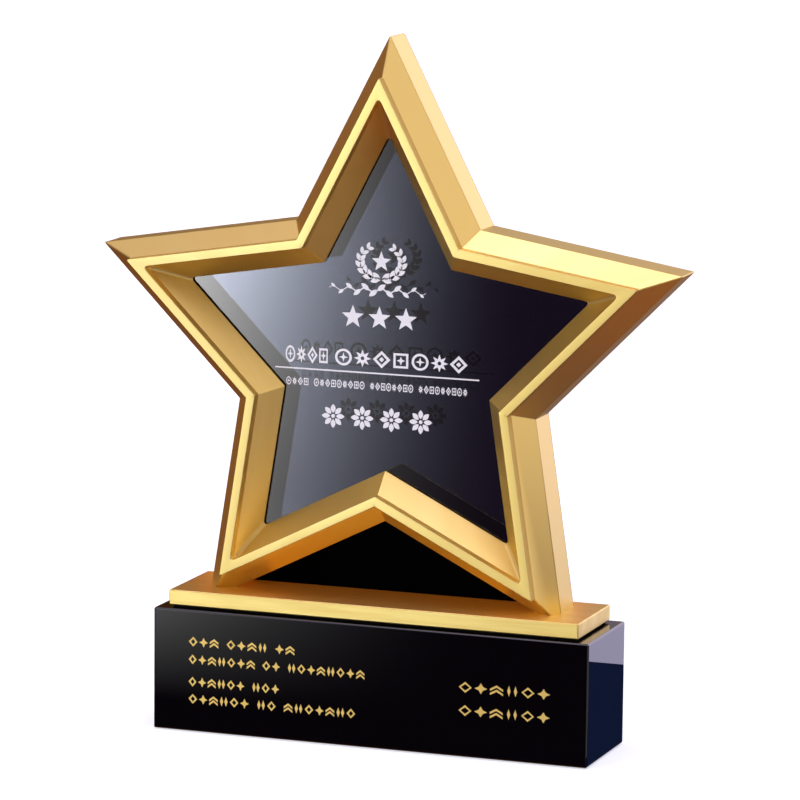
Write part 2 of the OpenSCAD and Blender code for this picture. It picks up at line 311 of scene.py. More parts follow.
def shapedMesh(name, mesh, modifiers):  # runs modifiers on a mesh and gives back the result
    carrier = bpy.data.objects.new(name + "_carrier", mesh)
    bpy.context.scene.collection.objects.link(carrier)
    for kind, settings in modifiers:
        modifier = carrier.modifiers.new(kind, kind)
        for key, value in settings.items():
            setattr(modifier, key, value)
    result = meshOf(carrier)
    result.name = name
    bpy.data.objects.remove(carrier)
    return result


def easedEdges(width, segments=2, angle=25):
    return [("BEVEL", {"width": width, "segments": segments, "limit_method": "ANGLE",
                       "angle_limit": math.radians(angle), "use_clamp_overlap": True}),
            ("WEIGHTED_NORMAL", {"keep_sharp": False})]


def mergedCopy(node):  # a CAD node's mesh with its triangles joined up into flat faces
    form = bmesh.new()
    form.from_mesh(nodes[node].data)
    bmesh.ops.remove_doubles(form, verts=form.verts, dist=0.002 * mm)
    bmesh.ops.dissolve_limit(form, angle_limit=math.radians(1), verts=form.verts, edges=form.edges)
    mesh = bpy.data.meshes.new(node + "_copy")
    form.to_mesh(mesh)
    form.free()
    return mesh


def smoothAll(mesh):
    mesh.polygons.foreach_set("use_smooth", [True] * len(mesh.polygons))


def easedNode(node, name, slot, width):
    mesh = mergedCopy(node)
    smoothAll(mesh)
    mesh = shapedMesh(name, mesh, easedEdges(width))
    mesh.materials.clear()
    return addPiece(name, mesh, slot, node)


rimLow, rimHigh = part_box("star_frame")
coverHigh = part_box("rear_cover")[1]
crystalLow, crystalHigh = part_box("crystal_star")
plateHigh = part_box("base_plate")[1]

starRadius = (rimHigh.x - rimLow.x) / (2 * math.cos(math.radians(18)))
starHeight = rimHigh.z - starRadius
rimBack = rimHigh.y
waistRadius = 68 * mm
tipHalf = math.atan2(waistRadius * math.sin(math.radians(36)),
                     starRadius - waistRadius * math.cos(math.radians(36)))
waistTurn = math.radians(36) + tipHalf


def starCorner(index, inset):  # even corners are tips, odd ones are inner corners
    if index % 2 == 0:
        radius = starRadius - inset / math.sin(tipHalf)
    else:
        radius = waistRadius - inset / math.sin(waistTurn)
    angle = math.radians(90 - 36 * index)
    return Vector((radius * math.cos(angle), 0, starHeight + radius * math.sin(angle)))


def insetOf(topZ):  # how far inside the outline a star is whose tip is at that height
    return (starHeight + starRadius - topZ) * math.sin(tipHalf)


def starSlab(name, inset, front, back):
    form = bmesh.new()
    loops = [[form.verts.new(starCorner(i, inset) + Vector((0, y, 0))) for i in range(10)]
             for y in (front, back)]
    form.faces.new(loops[0])
    form.faces.new(reversed(loops[1]))
    for i in range(10):
        form.faces.new([loops[0][(i + 1) % 10], loops[0][i], loops[1][i], loops[1][(i + 1) % 10]])
    bmesh.ops.recalc_face_normals(form, faces=form.faces)
    mesh = bpy.data.meshes.new(name)
    form.to_mesh(mesh)
    form.free()
    return mesh


# section corners: inset from the outline, height above the back, fillet, rounding of the loop at its tips
rim = {"waistRound": 0.7 * mm, "cornerPoints": 7, "filletPoints": 3, "weldDistance": 0.0005 * mm,
       "streakDepthShare": 1.37, "section": [
    (0.0, 0.0, 0.15, 0.5), (0.0, 16.4, 0.35, 0.5), (7.3, 25.2, 0.30, 0.6), (7.3, 29.3, 0.30, 0.6),
    (11.1, 29.3, 0.30, 1.7), (11.1, 25.3, 0.25, 1.6), (18.8, 16.55, 0.15, 1.3), (18.8, 16.15, 0.12, 1.3),
    (13.5, 16.15, 0.10, 0.8), (13.5, 0.0, 0.10, 0.8)]}


def filletedSection(section, count):
    points = []
    for k, (u, v, fillet, tipRound) in enumerate(section):
        here = Vector((u, v))
        before = (Vector(section[k - 1][:2]) - here).normalized()
        after = (Vector(section[(k + 1) % len(section)][:2]) - here).normalized()
        for step in range(count):
            t = step / (count - 1)
            place = here + fillet * ((1 - t) ** 2 * before + t ** 2 * after)
            points.append((place.x * mm, place.y * mm, tipRound * mm))
    return points


def sectionObject(points):
    mesh = bpy.data.meshes.new("rim_section")
    mesh.from_pydata(points, [(i, i + 1) for i in range(len(points) - 1)], [])
    holder = bpy.data.objects.new("rim_section", mesh)
    bpy.context.scene.collection.objects.link(holder)
    return holder


def newTree(name, inputs):  # a geometry tree with named inputs, and its first geometry socket
    tree = bpy.data.node_groups.new(name, "GeometryNodeTree")
    sockets = {}
    for label, kind, value in inputs:
        socket = tree.interface.new_socket(name=label, in_out="INPUT", socket_type=kind)
        if value is not None:
            socket.default_value = value
        sockets[label] = socket.identifier
    tree.interface.new_socket(name="Geometry", in_out="OUTPUT", socket_type="NodeSocketGeometry")
    graph = Graph(tree)
    given = graph.add("NodeGroupInput")
    return graph, given, sockets


def endTree(graph, geometry, material, smooth):
    real = graph.add("GeometryNodeRealizeInstances", {}, {"Geometry": geometry})
    shaded = graph.add("GeometryNodeSetShadeSmooth", {}, {"Geometry": real, "Shade Smooth": smooth})
    done = graph.add("GeometryNodeSetMaterial", {}, {"Geometry": shaded, "Material": material})
    graph.add("NodeGroupOutput", {}, {"Geometry": done})


def grown(name, graph, sockets, values):  # runs a geometry tree on an empty mesh and gives back plain data
    carrier = bpy.data.objects.new(name + "_carrier", bpy.data.meshes.new(name + "_seed"))
    bpy.context.scene.collection.objects.link(carrier)
    modifier = carrier.modifiers.new("Grow", "NODES")
    modifier.node_group = graph.tree
    for label, value in values.items():
        modifier[sockets[label]] = value
    result = meshOf(carrier)
    result.name = name
    bpy.data.objects.remove(carrier)
    return result


def starLoftTree(cornerPoints, sectionPoints):
    # a grid whose columns run round the star and whose rows follow the section
    graph, given, sockets = newTree("star_loft", [
        ("Section", "NodeSocketObject", None), ("Tip Radius", "NodeSocketFloat", 0.13),
        ("Waist Radius", "NodeSocketFloat", 0.07), ("Waist Round", "NodeSocketFloat", 0.0005),
        ("Centre Height", "NodeSocketFloat", 0.16), ("Back", "NodeSocketFloat", 0.01)])
    around = 10 * cornerPoints
    grid = graph.add("GeometryNodeMeshGrid", {}, {"Size X": 1, "Size Y": 1, "Vertices X": around + 1,
                                                  "Vertices Y": sectionPoints + 1})
    place = graph.add("ShaderNodeSeparateXYZ", {}, {"Vector": graph.add("GeometryNodeInputPosition")})
    step = ((place.out("X") + 0.5) * around + cornerPoints // 2).math("ROUND")
    row = ((place.out("Y") + 0.5) * sectionPoints).math("ROUND")
    corner = (step / cornerPoints + 0.001).math("FLOOR")
    bend = (step - corner * cornerPoints) / (cornerPoints - 1)
    isWaist = corner.math("MODULO", 2)
    profile = graph.add("GeometryNodeObjectInfo", {"transform_space": "ORIGINAL"},
                        {"Object": given.out("Section")}).out("Geometry")
    spot = graph.add("GeometryNodeSampleIndex", {"data_type": "FLOAT_VECTOR", "domain": "POINT"},
                     {"Geometry": profile, "Value": graph.add("GeometryNodeInputPosition"),
                      "Index": row.math("MODULO", sectionPoints)})
    spot = graph.add("ShaderNodeSeparateXYZ", {}, {"Vector": spot})
    inset, depth, tipRound = spot.out("X"), spot.out("Y"), spot.out("Z")
    # radius of the sharp corner, and the two ways out of it along the bars
    halfWay = (given.out("Waist Radius") * math.sin(math.radians(36))).math(
        "ARCTAN2", given.out("Tip Radius") - given.out("Waist Radius") * math.cos(math.radians(36)))
    turn = halfWay + math.radians(36)
    tipPlace = given.out("Tip Radius") - inset / halfWay.math("SINE")
    waistPlace = given.out("Waist Radius") - inset / turn.math("SINE")
    radius = tipPlace + isWaist * (waistPlace - tipPlace)
    spread = halfWay + isWaist * (math.pi - turn - halfWay)
    reach = tipRound / halfWay.math("TANGENT")
    waistReach = given.out("Waist Round") / turn.math("TANGENT")
    reach = reach + isWaist * (waistReach - reach)
    angle = math.radians(90) - corner * math.radians(36)
    inward = angle + math.pi
    early, late = (1 - bend) ** 2 * reach, bend ** 2 * reach
    x = radius * angle.math("COSINE") + early * (inward - spread).math("COSINE") \
        + late * (inward + spread).math("COSINE")
    z = radius * angle.math("SINE") + early * (inward - spread).math("SINE") \
        + late * (inward + spread).math("SINE")
    moved = graph.add("GeometryNodeSetPosition", {}, {"Geometry": grid, "Position": graph.add(
        "ShaderNodeCombineXYZ", {}, {"X": x, "Y": given.out("Back") - depth,
                                      "Z": given.out("Centre Height") + z})})
    across = inset + depth * rim["streakDepthShare"]
    for name, value in (("along", corner * 0.078 + bend * 0.002), ("across", across)):
        moved = graph.add("GeometryNodeStoreNamedAttribute", {"data_type": "FLOAT", "domain": "POINT"},
                          {"Geometry": moved, "Name": name, "Value": value})
    closed = graph.add("GeometryNodeMergeByDistance", {}, {
        "Geometry": moved, "Distance": rim["weldDistance"]})
    endTree(graph, closed, finishes["gold_rim"], True)
    return graph, sockets


def buildRim():
    section = filletedSection(rim["section"], rim["filletPoints"])
    holder = sectionObject(section)
    graph, sockets = starLoftTree(rim["cornerPoints"], len(section))
    mesh = grown("gold_rim", graph, sockets, {
        "Section": holder, "Tip Radius": starRadius, "Waist Radius": waistRadius,
        "Waist Round": rim["waistRound"], "Centre Height": starHeight, "Back": rimBack})
    bpy.data.objects.remove(holder)
    form = bmesh.new()
    form.from_mesh(mesh)
    # the two lower tips are sawn off flat where they stand on the plate
    cut = bmesh.ops.bisect_plane(form, geom=form.verts[:] + form.edges[:] + form.faces[:], dist=1e-7,
                                 plane_co=(0, 0, plateHigh.z), plane_no=(0, 0, -1), clear_outer=True)
    edges = [e for e in cut["geom_cut"] if isinstance(e, bmesh.types.BMEdge)]
    bmesh.ops.holes_fill(form, edges=edges, sides=0)
    bmesh.ops.recalc_face_normals(form, faces=form.faces)
    form.to_mesh(mesh)
    form.free()
    mesh = shapedMesh("gold_rim", mesh, [("WEIGHTED_NORMAL", {"keep_sharp": False})])
    return addPiece("gold_rim", mesh, "gold_rim", "star_frame")


rimPiece = buildRim()
print("rim:", len(rimPiece.data.polygons), "faces")


def buildCrystal():
    mesh = starSlab("crystal", insetOf(crystalHigh.z), crystalLow.y, crystalHigh.y)
    smoothAll(mesh)
    mesh = shapedMesh("crystal", mesh, easedEdges(0.35 * mm, 2, 40))
    mesh.materials.append(finishes["clear_crystal"])
    mesh.materials.append(finishes["ground_crystal"])
    for face in mesh.polygons:
        face.material_index = 1 if abs(face.normal.y) < 0.1 else 0
    return addPiece("crystal_body", mesh, "clear_crystal", "crystal_star")


buildCrystal()


def buildCover():  # its front faces take a near-black matte copy of the cover's finish, painted shade so that the gap between the legs shows black and no reflections
    piece = easedNode("rear_cover", "back_cover", "black_cover", 0.3 * mm)
    piece.data.materials.append(finishes["painted_shade_black"])
    for face in piece.data.polygons:
        face.material_index = 1 if face.normal.y < -0.9 else 0


def buildBlock():  # a fine polished round along the chamfers; the engraving stays as sharp as it is cut
    form = bmesh.new()
    form.from_mesh(mergedCopy("base_block"))
    edges = [e for e in form.edges if e.calc_length() > 10 * mm
             and math.radians(30) < e.calc_face_angle(0) < math.radians(65)]
    bmesh.ops.bevel(form, geom=edges, offset=0.15 * mm, segments=2, profile=0.5, affect="EDGES")
    mesh = bpy.data.meshes.new("crystal_block")
    form.to_mesh(mesh)
    form.free()
    addPiece("crystal_block", mesh, "black_crystal", "base_block")


easedNode("base_plate", "gold_plate", "gold_plate", 0.15 * mm)
buildCover()
buildBlock()
print("plate, cover and block done")


def outlineCircle(graph, radius):
    return graph.add("GeometryNodeCurvePrimitiveCircle", {}, {"Resolution": 24, "Radius": radius})


def outlineStar(graph, points, tip, waist):
    return graph.add("GeometryNodeCurveStar", {}, {"Points": points, "Inner Radius": waist,
                                                   "Outer Radius": tip})


def outlineSquare(graph, size):
    return graph.add("GeometryNodeCurvePrimitiveQuadrilateral", {}, {"Width": size, "Height": size})


def outlineDiamond(graph, size):
    return graph.add("GeometryNodeCurvePrimitiveCircle", {}, {"Resolution": 4, "Radius": size / 2})


def outlineLeaf(graph, length, width):  # pointed at both ends, and standing along Y
    ring = graph.add("GeometryNodeCurvePrimitiveCircle", {}, {"Resolution": 20, "Radius": 1.0})
    place = graph.add("ShaderNodeSeparateXYZ", {}, {"Vector": graph.add("GeometryNodeInputPosition")})
    side = place.out("Y")
    moved = graph.add("ShaderNodeCombineXYZ", {}, {"X": side * side.math("ABSOLUTE") * width * 0.5,
                                                    "Y": place.out("X") * length * -0.5})
    return graph.add("GeometryNodeSetPosition", {}, {"Geometry": ring, "Position": moved})


# outlines inside others are holes, and outlines inside those are solid again
def solidShape(graph, thickness, *outlines):
    flat = graph.add("GeometryNodeFillCurve", {}, {"Curve": graph.join(*outlines)})
    raised = graph.add("GeometryNodeExtrudeMesh", {}, {"Mesh": flat, "Offset Scale": thickness,
                                                       "Individual": False})
    shape = graph.join(raised, graph.add("GeometryNodeFlipFaces", {}, {"Mesh": flat}))
    return graph.add("GeometryNodeMergeByDistance", {}, {"Geometry": shape, "Distance": 0.0001 * mm})


def turned(graph, angle):
    return graph.add("ShaderNodeCombineXYZ", {}, {"Z": angle})


def stoodUp(graph, geometry, place):  # turns a flat ornament to face the front, and puts it in its place
    return graph.add("GeometryNodeTransform", {}, {"Geometry": geometry, "Translation": place,
                                                   "Rotation": (math.radians(90), 0, 0)})


def markRowTree():  # a row of small ornaments of four kinds, which take turns
    graph, given, sockets = newTree("mark_row", [
        ("Count", "NodeSocketInt", 4), ("First", "NodeSocketInt", 0), ("Pitch", "NodeSocketFloat", 0.005),
        ("Mark Width", "NodeSocketFloat", 0.004), ("Mark Height", "NodeSocketFloat", 0.006),
        ("Thickness", "NodeSocketFloat", 0.0001), ("Place", "NodeSocketVector", None)])
    thickness = given.out("Thickness")
    kinds = [(outlineCircle(graph, 0.5), outlineCircle(graph, 0.36), outlineStar(graph, 4, 0.28, 0.09)),
             (outlineStar(graph, 8, 0.52, 0.26), outlineCircle(graph, 0.11)),
             (outlineDiamond(graph, 1.04), outlineDiamond(graph, 0.62), outlineDiamond(graph, 0.30)),
             (outlineSquare(graph, 0.88), outlineSquare(graph, 0.62), outlineStar(graph, 4, 0.26, 0.10))]
    marks = graph.join(*[graph.add("GeometryNodeGeometryToInstance", {}, {
        "Geometry": solidShape(graph, thickness, *kind)}) for kind in kinds])
    step = graph.add("ShaderNodeCombineXYZ", {}, {"X": given.out("Pitch")})
    line = graph.add("GeometryNodeMeshLine", {}, {"Count": given.out("Count"), "Offset": step})
    size = graph.add("ShaderNodeCombineXYZ", {}, {"X": given.out("Mark Width"), "Y": given.out("Mark Height"),
                                                   "Z": 1})
    order = (graph.add("GeometryNodeInputIndex") + given.out("First")).math("MODULO", len(kinds))
    row = graph.add("GeometryNodeInstanceOnPoints", {}, {
        "Points": line, "Instance": marks, "Pick Instance": True, "Instance Index": order, "Scale": size})
    endTree(graph, stoodUp(graph, row, given.out("Place")), finishes["white_ink"], False)
    return graph, sockets


def wreathTree(leaves):  # two bowed branches of paired leaves round a star
    graph, given, sockets = newTree("wreath", [
        ("Half Width", "NodeSocketFloat", 0.009), ("Half Height", "NodeSocketFloat", 0.007),
        ("Leaf Length", "NodeSocketFloat", 0.004), ("Leaf Width", "NodeSocketFloat", 0.0016),
        ("Star Radius", "NodeSocketFloat", 0.004), ("Thickness", "NodeSocketFloat", 0.0001),
        ("Place", "NodeSocketVector", None)])
    leaf = solidShape(graph, given.out("Thickness"),
                      outlineLeaf(graph, given.out("Leaf Length"), given.out("Leaf Width")))
    share = graph.add("GeometryNodeInputIndex") / (leaves - 1)
    angle = (share * 132 - 76) * math.radians(1)
    line = graph.add("GeometryNodeMeshLine", {}, {"Count": leaves})
    branches = []
    for splay in (-34, 34):  # outer and inner leaves, which lean away from the branch
        out = 1 - math.copysign(0.10, splay)
        spot = graph.add("ShaderNodeCombineXYZ", {}, {
            "X": angle.math("COSINE") * given.out("Half Width") * out,
            "Y": angle.math("SINE") * given.out("Half Height") * out})
        bent = graph.add("GeometryNodeSetPosition", {}, {"Geometry": line, "Position": spot})
        size = graph.add("ShaderNodeCombineXYZ", {}, {"X": 1 - share * 0.35, "Y": 1 - share * 0.35, "Z": 1})
        branches.append(graph.add("GeometryNodeInstanceOnPoints", {}, {
            "Points": bent, "Instance": leaf, "Rotation": turned(graph, angle + math.radians(splay)),
            "Scale": size}))
    branch = graph.add("GeometryNodeRealizeInstances", {}, {"Geometry": graph.join(*branches)})
    mirrored = graph.add("GeometryNodeTransform", {}, {"Geometry": branch, "Scale": (-1, 1, 1)})
    mirrored = graph.add("GeometryNodeFlipFaces", {}, {"Mesh": mirrored})
    star = solidShape(graph, given.out("Thickness"), outlineStar(
        graph, 5, given.out("Star Radius"), given.out("Star Radius") * 0.42))
    star = graph.add("GeometryNodeTransform", {}, {"Geometry": star, "Rotation": (0, 0, math.radians(90))})
    endTree(graph, stoodUp(graph, graph.join(branch, mirrored, star), given.out("Place")),
            finishes["white_ink"], False)
    return graph, sockets


def scrollTree(leaves, waves):  # a waving stem with a leaf at each crest, thinning towards its ends
    graph, given, sockets = newTree("scroll", [
        ("Length", "NodeSocketFloat", 0.042), ("Wave", "NodeSocketFloat", 0.001),
        ("Leaf Length", "NodeSocketFloat", 0.004), ("Leaf Width", "NodeSocketFloat", 0.0016),
        ("Stem", "NodeSocketFloat", 0.0006), ("Thickness", "NodeSocketFloat", 0.0001),
        ("Place", "NodeSocketVector", None)])
    half = given.out("Length") * 0.5
    line = graph.add("GeometryNodeMeshLine", {}, {"Count": 97})
    share = graph.add("GeometryNodeInputIndex") / 96
    bend = (share * (2 * math.pi * waves)).math("SINE") * given.out("Wave")
    spot = graph.add("ShaderNodeCombineXYZ", {}, {"X": (share * 2 - 1) * half, "Y": bend,
                                                   "Z": given.out("Thickness") * 0.5})
    stem = graph.add("GeometryNodeMeshToCurve", {}, {"Mesh": graph.add(
        "GeometryNodeSetPosition", {}, {"Geometry": line, "Position": spot})})
    profile = graph.add("GeometryNodeCurvePrimitiveQuadrilateral", {}, {
        "Width": given.out("Stem"), "Height": given.out("Thickness")})
    taper = 0.35 + 0.65 * (share * math.pi).math("SINE")
    stem = graph.add("GeometryNodeSetCurveNormal", {"mode": "Z_UP"}, {"Curve": stem})
    stem = graph.add("GeometryNodeCurveToMesh", {}, {"Curve": stem, "Profile Curve": profile, "Scale": taper,
                                                       "Fill Caps": True})
    count = graph.add("GeometryNodeInputIndex")
    side = 1 - count.math("MODULO", 2) * 2
    way = (count + 0.5) / leaves
    near = (way * math.pi).math("SINE")
    seats = graph.add("GeometryNodeSetPosition", {}, {
        "Geometry": graph.add("GeometryNodeMeshLine", {}, {"Count": leaves}),
        "Position": graph.add("ShaderNodeCombineXYZ", {}, {"X": (way * 2 - 1) * half,
                                                             "Y": side * given.out("Wave") * 1.5})})
    leaf = solidShape(graph, given.out("Thickness"),
                      outlineLeaf(graph, given.out("Leaf Length"), given.out("Leaf Width")))
    size = 0.45 + near * 0.55
    sizes = graph.add("ShaderNodeCombineXYZ", {}, {"X": size, "Y": size, "Z": 1})
    outwards = (way - 0.5).math("SIGN") * side * math.radians(-52)
    leafRow = graph.add("GeometryNodeInstanceOnPoints", {}, {
        "Points": seats, "Instance": leaf, "Rotation": turned(graph, outwards), "Scale": sizes})
    endTree(graph, stoodUp(graph, graph.join(stem, leafRow), given.out("Place")),
            finishes["white_ink"], False)
    return graph, sockets


def flowerRowTree(petals):
    graph, given, sockets = newTree("flower_row", [
        ("Count", "NodeSocketInt", 4), ("Pitch", "NodeSocketFloat", 0.0128),
        ("Radius", "NodeSocketFloat", 0.005), ("Petal Width", "NodeSocketFloat", 0.002),
        ("Thickness", "NodeSocketFloat", 0.0001), ("Place", "NodeSocketVector", None)])
    length = given.out("Radius") * 0.74
    petal = solidShape(graph, given.out("Thickness"), outlineLeaf(graph, length, given.out("Petal Width")))
    angle = graph.add("GeometryNodeInputIndex") * (2 * math.pi / petals)
    reach = given.out("Radius") - length * 0.5
    spot = graph.add("ShaderNodeCombineXYZ", {}, {"X": angle.math("SINE") * reach * -1,
                                                   "Y": angle.math("COSINE") * reach})
    ring = graph.add("GeometryNodeSetPosition", {}, {
        "Geometry": graph.add("GeometryNodeMeshLine", {}, {"Count": petals}), "Position": spot})
    flower = graph.join(
        graph.add("GeometryNodeInstanceOnPoints", {}, {
            "Points": ring, "Instance": petal, "Rotation": turned(graph, angle)}),
        solidShape(graph, given.out("Thickness"), outlineCircle(graph, given.out("Radius") * 0.16)))
    flower = graph.add("GeometryNodeRealizeInstances", {}, {"Geometry": flower})
    step = graph.add("ShaderNodeCombineXYZ", {}, {"X": given.out("Pitch")})
    row = graph.add("GeometryNodeInstanceOnPoints", {}, {
        "Points": graph.add("GeometryNodeMeshLine", {}, {"Count": given.out("Count"), "Offset": step}),
        "Instance": flower})
    endTree(graph, stoodUp(graph, row, given.out("Place")), finishes["white_ink"], False)
    return graph, sockets


def joinedMesh(name, meshes):
    form = bmesh.new()
    for mesh in meshes:
        form.from_mesh(mesh)
    joined = bpy.data.meshes.new(name)
    form.to_mesh(joined)
    form.free()
    return joined


def printPlace(node):  # the middle of the back of a print
    low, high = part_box(node)
    return Vector((low.x + 0.5 * (high.x - low.x), high.y, (low.z + high.z) / 2))


# rows of marks: each group is a count and the width of its marks' cells in mm; then the gap between groups
markRows = {"title_print": {"groups": [(4, 5.0), (7, 8.6)], "gap": 2.2, "fill": 0.88},
            "subtitle_print": {"groups": [(4, 2.5), (9, 2.45), (8, 2.35), (9, 2.35)], "gap": 1.9,
                               "fill": 0.86}}


def buildMarkRow(node, row):
    low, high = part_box(node)
    graph, sockets = markRowTree()
    full = sum(count * cell for count, cell in row["groups"]) + row["gap"] * (len(row["groups"]) - 1)
    scale = (high.x - low.x) / full
    at, first, meshes = 0.0, 0, []
    for count, cell in row["groups"]:
        place = Vector((low.x + (at + cell / 2) * scale, high.y, (low.z + high.z) / 2))
        meshes.append(grown(node + "_group", graph, sockets, {
            "Count": count, "First": first, "Pitch": cell * scale, "Mark Width": row["fill"] * cell * scale,
            "Mark Height": high.z - low.z, "Thickness": high.y - low.y, "Place": place}))
        at += count * cell + row["gap"]
        first += count
    name = node.replace("_print", "_marks")
    addPiece(name, joinedMesh(name, meshes), "white_ink", node)


wreath = {"leaves": 7, "leafLength": 4.6 * mm, "leafWidth": 2.3 * mm, "starRadius": 4.4 * mm}
scroll = {"leaves": 12, "waves": 6, "wave": 0.8 * mm, "leafLength": 4.6 * mm, "leafWidth": 2.1 * mm,
          "stem": 0.55 * mm}
flowers = {"count": 4, "petals": 8, "petalWidth": 2.1 * mm}


def buildWreath():
    low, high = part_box("wreath_print")
    graph, sockets = wreathTree(wreath["leaves"])
    mesh = grown("print_wreath", graph, sockets, {
        "Half Width": (high.x - low.x) / 2 - 0.40 * wreath["leafLength"],
        "Half Height": (high.z - low.z) / 2 - 0.30 * wreath["leafLength"],
        "Leaf Length": wreath["leafLength"], "Leaf Width": wreath["leafWidth"],
        "Star Radius": wreath["starRadius"], "Thickness": high.y - low.y,
        "Place": printPlace("wreath_print")})
    addPiece("print_wreath", mesh, "white_ink", "wreath_print")


def buildScroll():
    low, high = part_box("scroll_print")
    graph, sockets = scrollTree(scroll["leaves"], scroll["waves"])
    mesh = grown("print_scroll", graph, sockets, {
        "Length": high.x - low.x, "Wave": scroll["wave"], "Leaf Length": scroll["leafLength"],
        "Leaf Width": scroll["leafWidth"], "Stem": scroll["stem"], "Thickness": high.y - low.y,
        "Place": printPlace("scroll_print")})
    addPiece("print_scroll", mesh, "white_ink", "scroll_print")


def buildFlowers():
    low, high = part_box("rosette_print")
    radius = (high.z - low.z) / 2
    graph, sockets = flowerRowTree(flowers["petals"])
    mesh = grown("print_flowers", graph, sockets, {
        "Count": flowers["count"], "Pitch": (high.x - low.x - 2 * radius) / (flowers["count"] - 1),
        "Radius": radius, "Petal Width": flowers["petalWidth"], "Thickness": high.y - low.y,
        "Place": Vector((low.x + radius, high.y, (low.z + high.z) / 2))})
    addPiece("print_flowers", mesh, "white_ink", "rosette_print")


for node, row in markRows.items():
    buildMarkRow(node, row)
buildWreath()
buildScroll()
buildFlowers()
print("printed ornaments done")

# rear cover screws: a flat-topped head with a chamfered rim and a hexagon socket
screw = {"count": 5, "boss": 6.75 * mm, "shank": 1.5 * mm, "socket": 1.2 * mm, "chamfer": 0.25 * mm,
         "socketDepth": 1.0 * mm, "segments": 48}


def screwTree():
    graph, given, sockets = newTree("cover_screws", [
        ("Count", "NodeSocketInt", 5), ("Circle Radius", "NodeSocketFloat", 0.06),
        ("Head Radius", "NodeSocketFloat", 0.003), ("Head Height", "NodeSocketFloat", 0.0016),
        ("Chamfer", "NodeSocketFloat", 0.0003), ("Shank Radius", "NodeSocketFloat", 0.0015),
        ("Shank Length", "NodeSocketFloat", 0.01), ("Socket Radius", "NodeSocketFloat", 0.0012),
        ("Socket Depth", "NodeSocketFloat", 0.001), ("Place", "NodeSocketVector", None)])

    def turning(radius, depth, middle, topRadius=None):
        cone = graph.add("GeometryNodeMeshCone", {}, {
            "Vertices": screw["segments"], "Radius Bottom": radius,
            "Radius Top": radius if topRadius is None else topRadius, "Depth": depth})
        return graph.add("GeometryNodeTransform", {}, {"Geometry": cone, "Translation": graph.add(
            "ShaderNodeCombineXYZ", {}, {"Z": middle})})

    height, edge = given.out("Head Height"), given.out("Chamfer")
    skirt = turning(given.out("Head Radius"), height - edge, 0.0)
    crown = turning(given.out("Head Radius"), edge, height - edge, given.out("Head Radius") - edge)
    shank = turning(given.out("Shank Radius"), given.out("Shank Length"), given.out("Shank Length") * -1)
    socket = graph.add("GeometryNodeMeshCylinder", {}, {"Vertices": 6, "Radius": given.out("Socket Radius"),
                                                         "Depth": given.out("Socket Depth") * 2})
    socket = graph.add("GeometryNodeTransform", {}, {"Geometry": socket, "Translation": graph.add(
        "ShaderNodeCombineXYZ", {}, {"Z": height})})
    body = graph.add("GeometryNodeMeshBoolean", {"operation": "UNION", "solver": "EXACT"}, {
        "Mesh 2": graph.join(skirt, crown, shank), "Self Intersection": True})
    body = graph.add("GeometryNodeMeshBoolean", {"operation": "DIFFERENCE", "solver": "EXACT"},
                     {"Mesh 1": body, "Mesh 2": socket})
    # each screw is turned by its own amount, as hands leave them
    ring = graph.add("GeometryNodeMeshCircle", {}, {"Vertices": given.out("Count"),
                                                      "Radius": given.out("Circle Radius")})
    ring = graph.add("GeometryNodeTransform", {}, {"Geometry": ring, "Rotation": (0, 0, math.radians(90))})
    spin = graph.add("FunctionNodeRandomValue", {"data_type": "FLOAT"}, {3: 1.04, "Seed": 7}, 1)
    row = graph.add("GeometryNodeInstanceOnPoints", {}, {
        "Points": ring, "Instance": body, "Rotation": turned(graph, spin)})
    faced = graph.add("GeometryNodeTransform", {}, {"Geometry": row, "Translation": given.out("Place"),
                                                    "Rotation": (math.radians(-90), 0, 0)})
    endTree(graph, faced, finishes["black_steel"], False)
    return graph, sockets


def buildScrews():
    low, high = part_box("rear_cover_screws")
    graph, sockets = screwTree()
    reach = waistRadius - screw["boss"] / math.sin(waistTurn)
    headRadius = (high.x - low.x) / 2 - reach * math.cos(math.radians(18))
    mesh = grown("cover_screws", graph, sockets, {
        "Count": screw["count"], "Circle Radius": reach, "Head Radius": headRadius,
        "Head Height": high.y - coverHigh.y, "Chamfer": screw["chamfer"], "Shank Radius": screw["shank"],
        "Shank Length": coverHigh.y - low.y, "Socket Radius": screw["socket"],
        "Socket Depth": screw["socketDepth"], "Place": Vector((0, coverHigh.y, starHeight))})
    addPiece("cover_screws", mesh, "black_steel", "rear_cover_screws")


buildScrews()
print("screws done")

kept = {"crystal_backing": "black_sheet", "front_seal": "black_foam", "rear_pad": "black_foam",
        "plate_pad": "black_foam", "leg_screws": "bright_steel", "base_felt": "black_felt",
        "three_star_print": "white_ink", "rule_print": "white_ink", "base_marks_left": "gold_fill",
        "base_marks_right": "gold_fill"}
for node, slotName in kept.items():
    nodes[node].data.materials.clear()
    nodes[node].data.materials.append(finishes[slotName])
print("kept CAD pieces finished")

view = {"azimuth": math.radians(19.861), "elevation": math.radians(9.464), "roll": 0.010976,
        "distance": 2.0409, "lens": 223.54, "target": Vector((0.00407, 0, 0.14194))}


def addCamera():
    sinA, cosA = math.sin(view["azimuth"]), math.cos(view["azimuth"])
    sinE, cosE = math.sin(view["elevation"]), math.cos(view["elevation"])
    back = Vector((sinA * cosE, -cosA * cosE, sinE))
    right = Vector((cosA, sinA, 0))
    up = back.cross(right)
    sinR, cosR = math.sin(view["roll"]), math.cos(view["roll"])
    right, up = cosR * right + sinR * up, cosR * up - sinR * right
    camera = bpy.data.objects.new("camera", bpy.data.cameras.new("camera"))
    bpy.context.scene.collection.objects.link(camera)
    camera.data.lens, camera.data.sensor_width = view["lens"], 36
    camera.data.clip_end = 60
    turn = Matrix((right, up, back)).transposed()
    camera.matrix_world = Matrix.Translation(view["target"] + back * view["distance"]) @ turn.to_4x4()
    bpy.context.scene.camera = camera


addCamera()

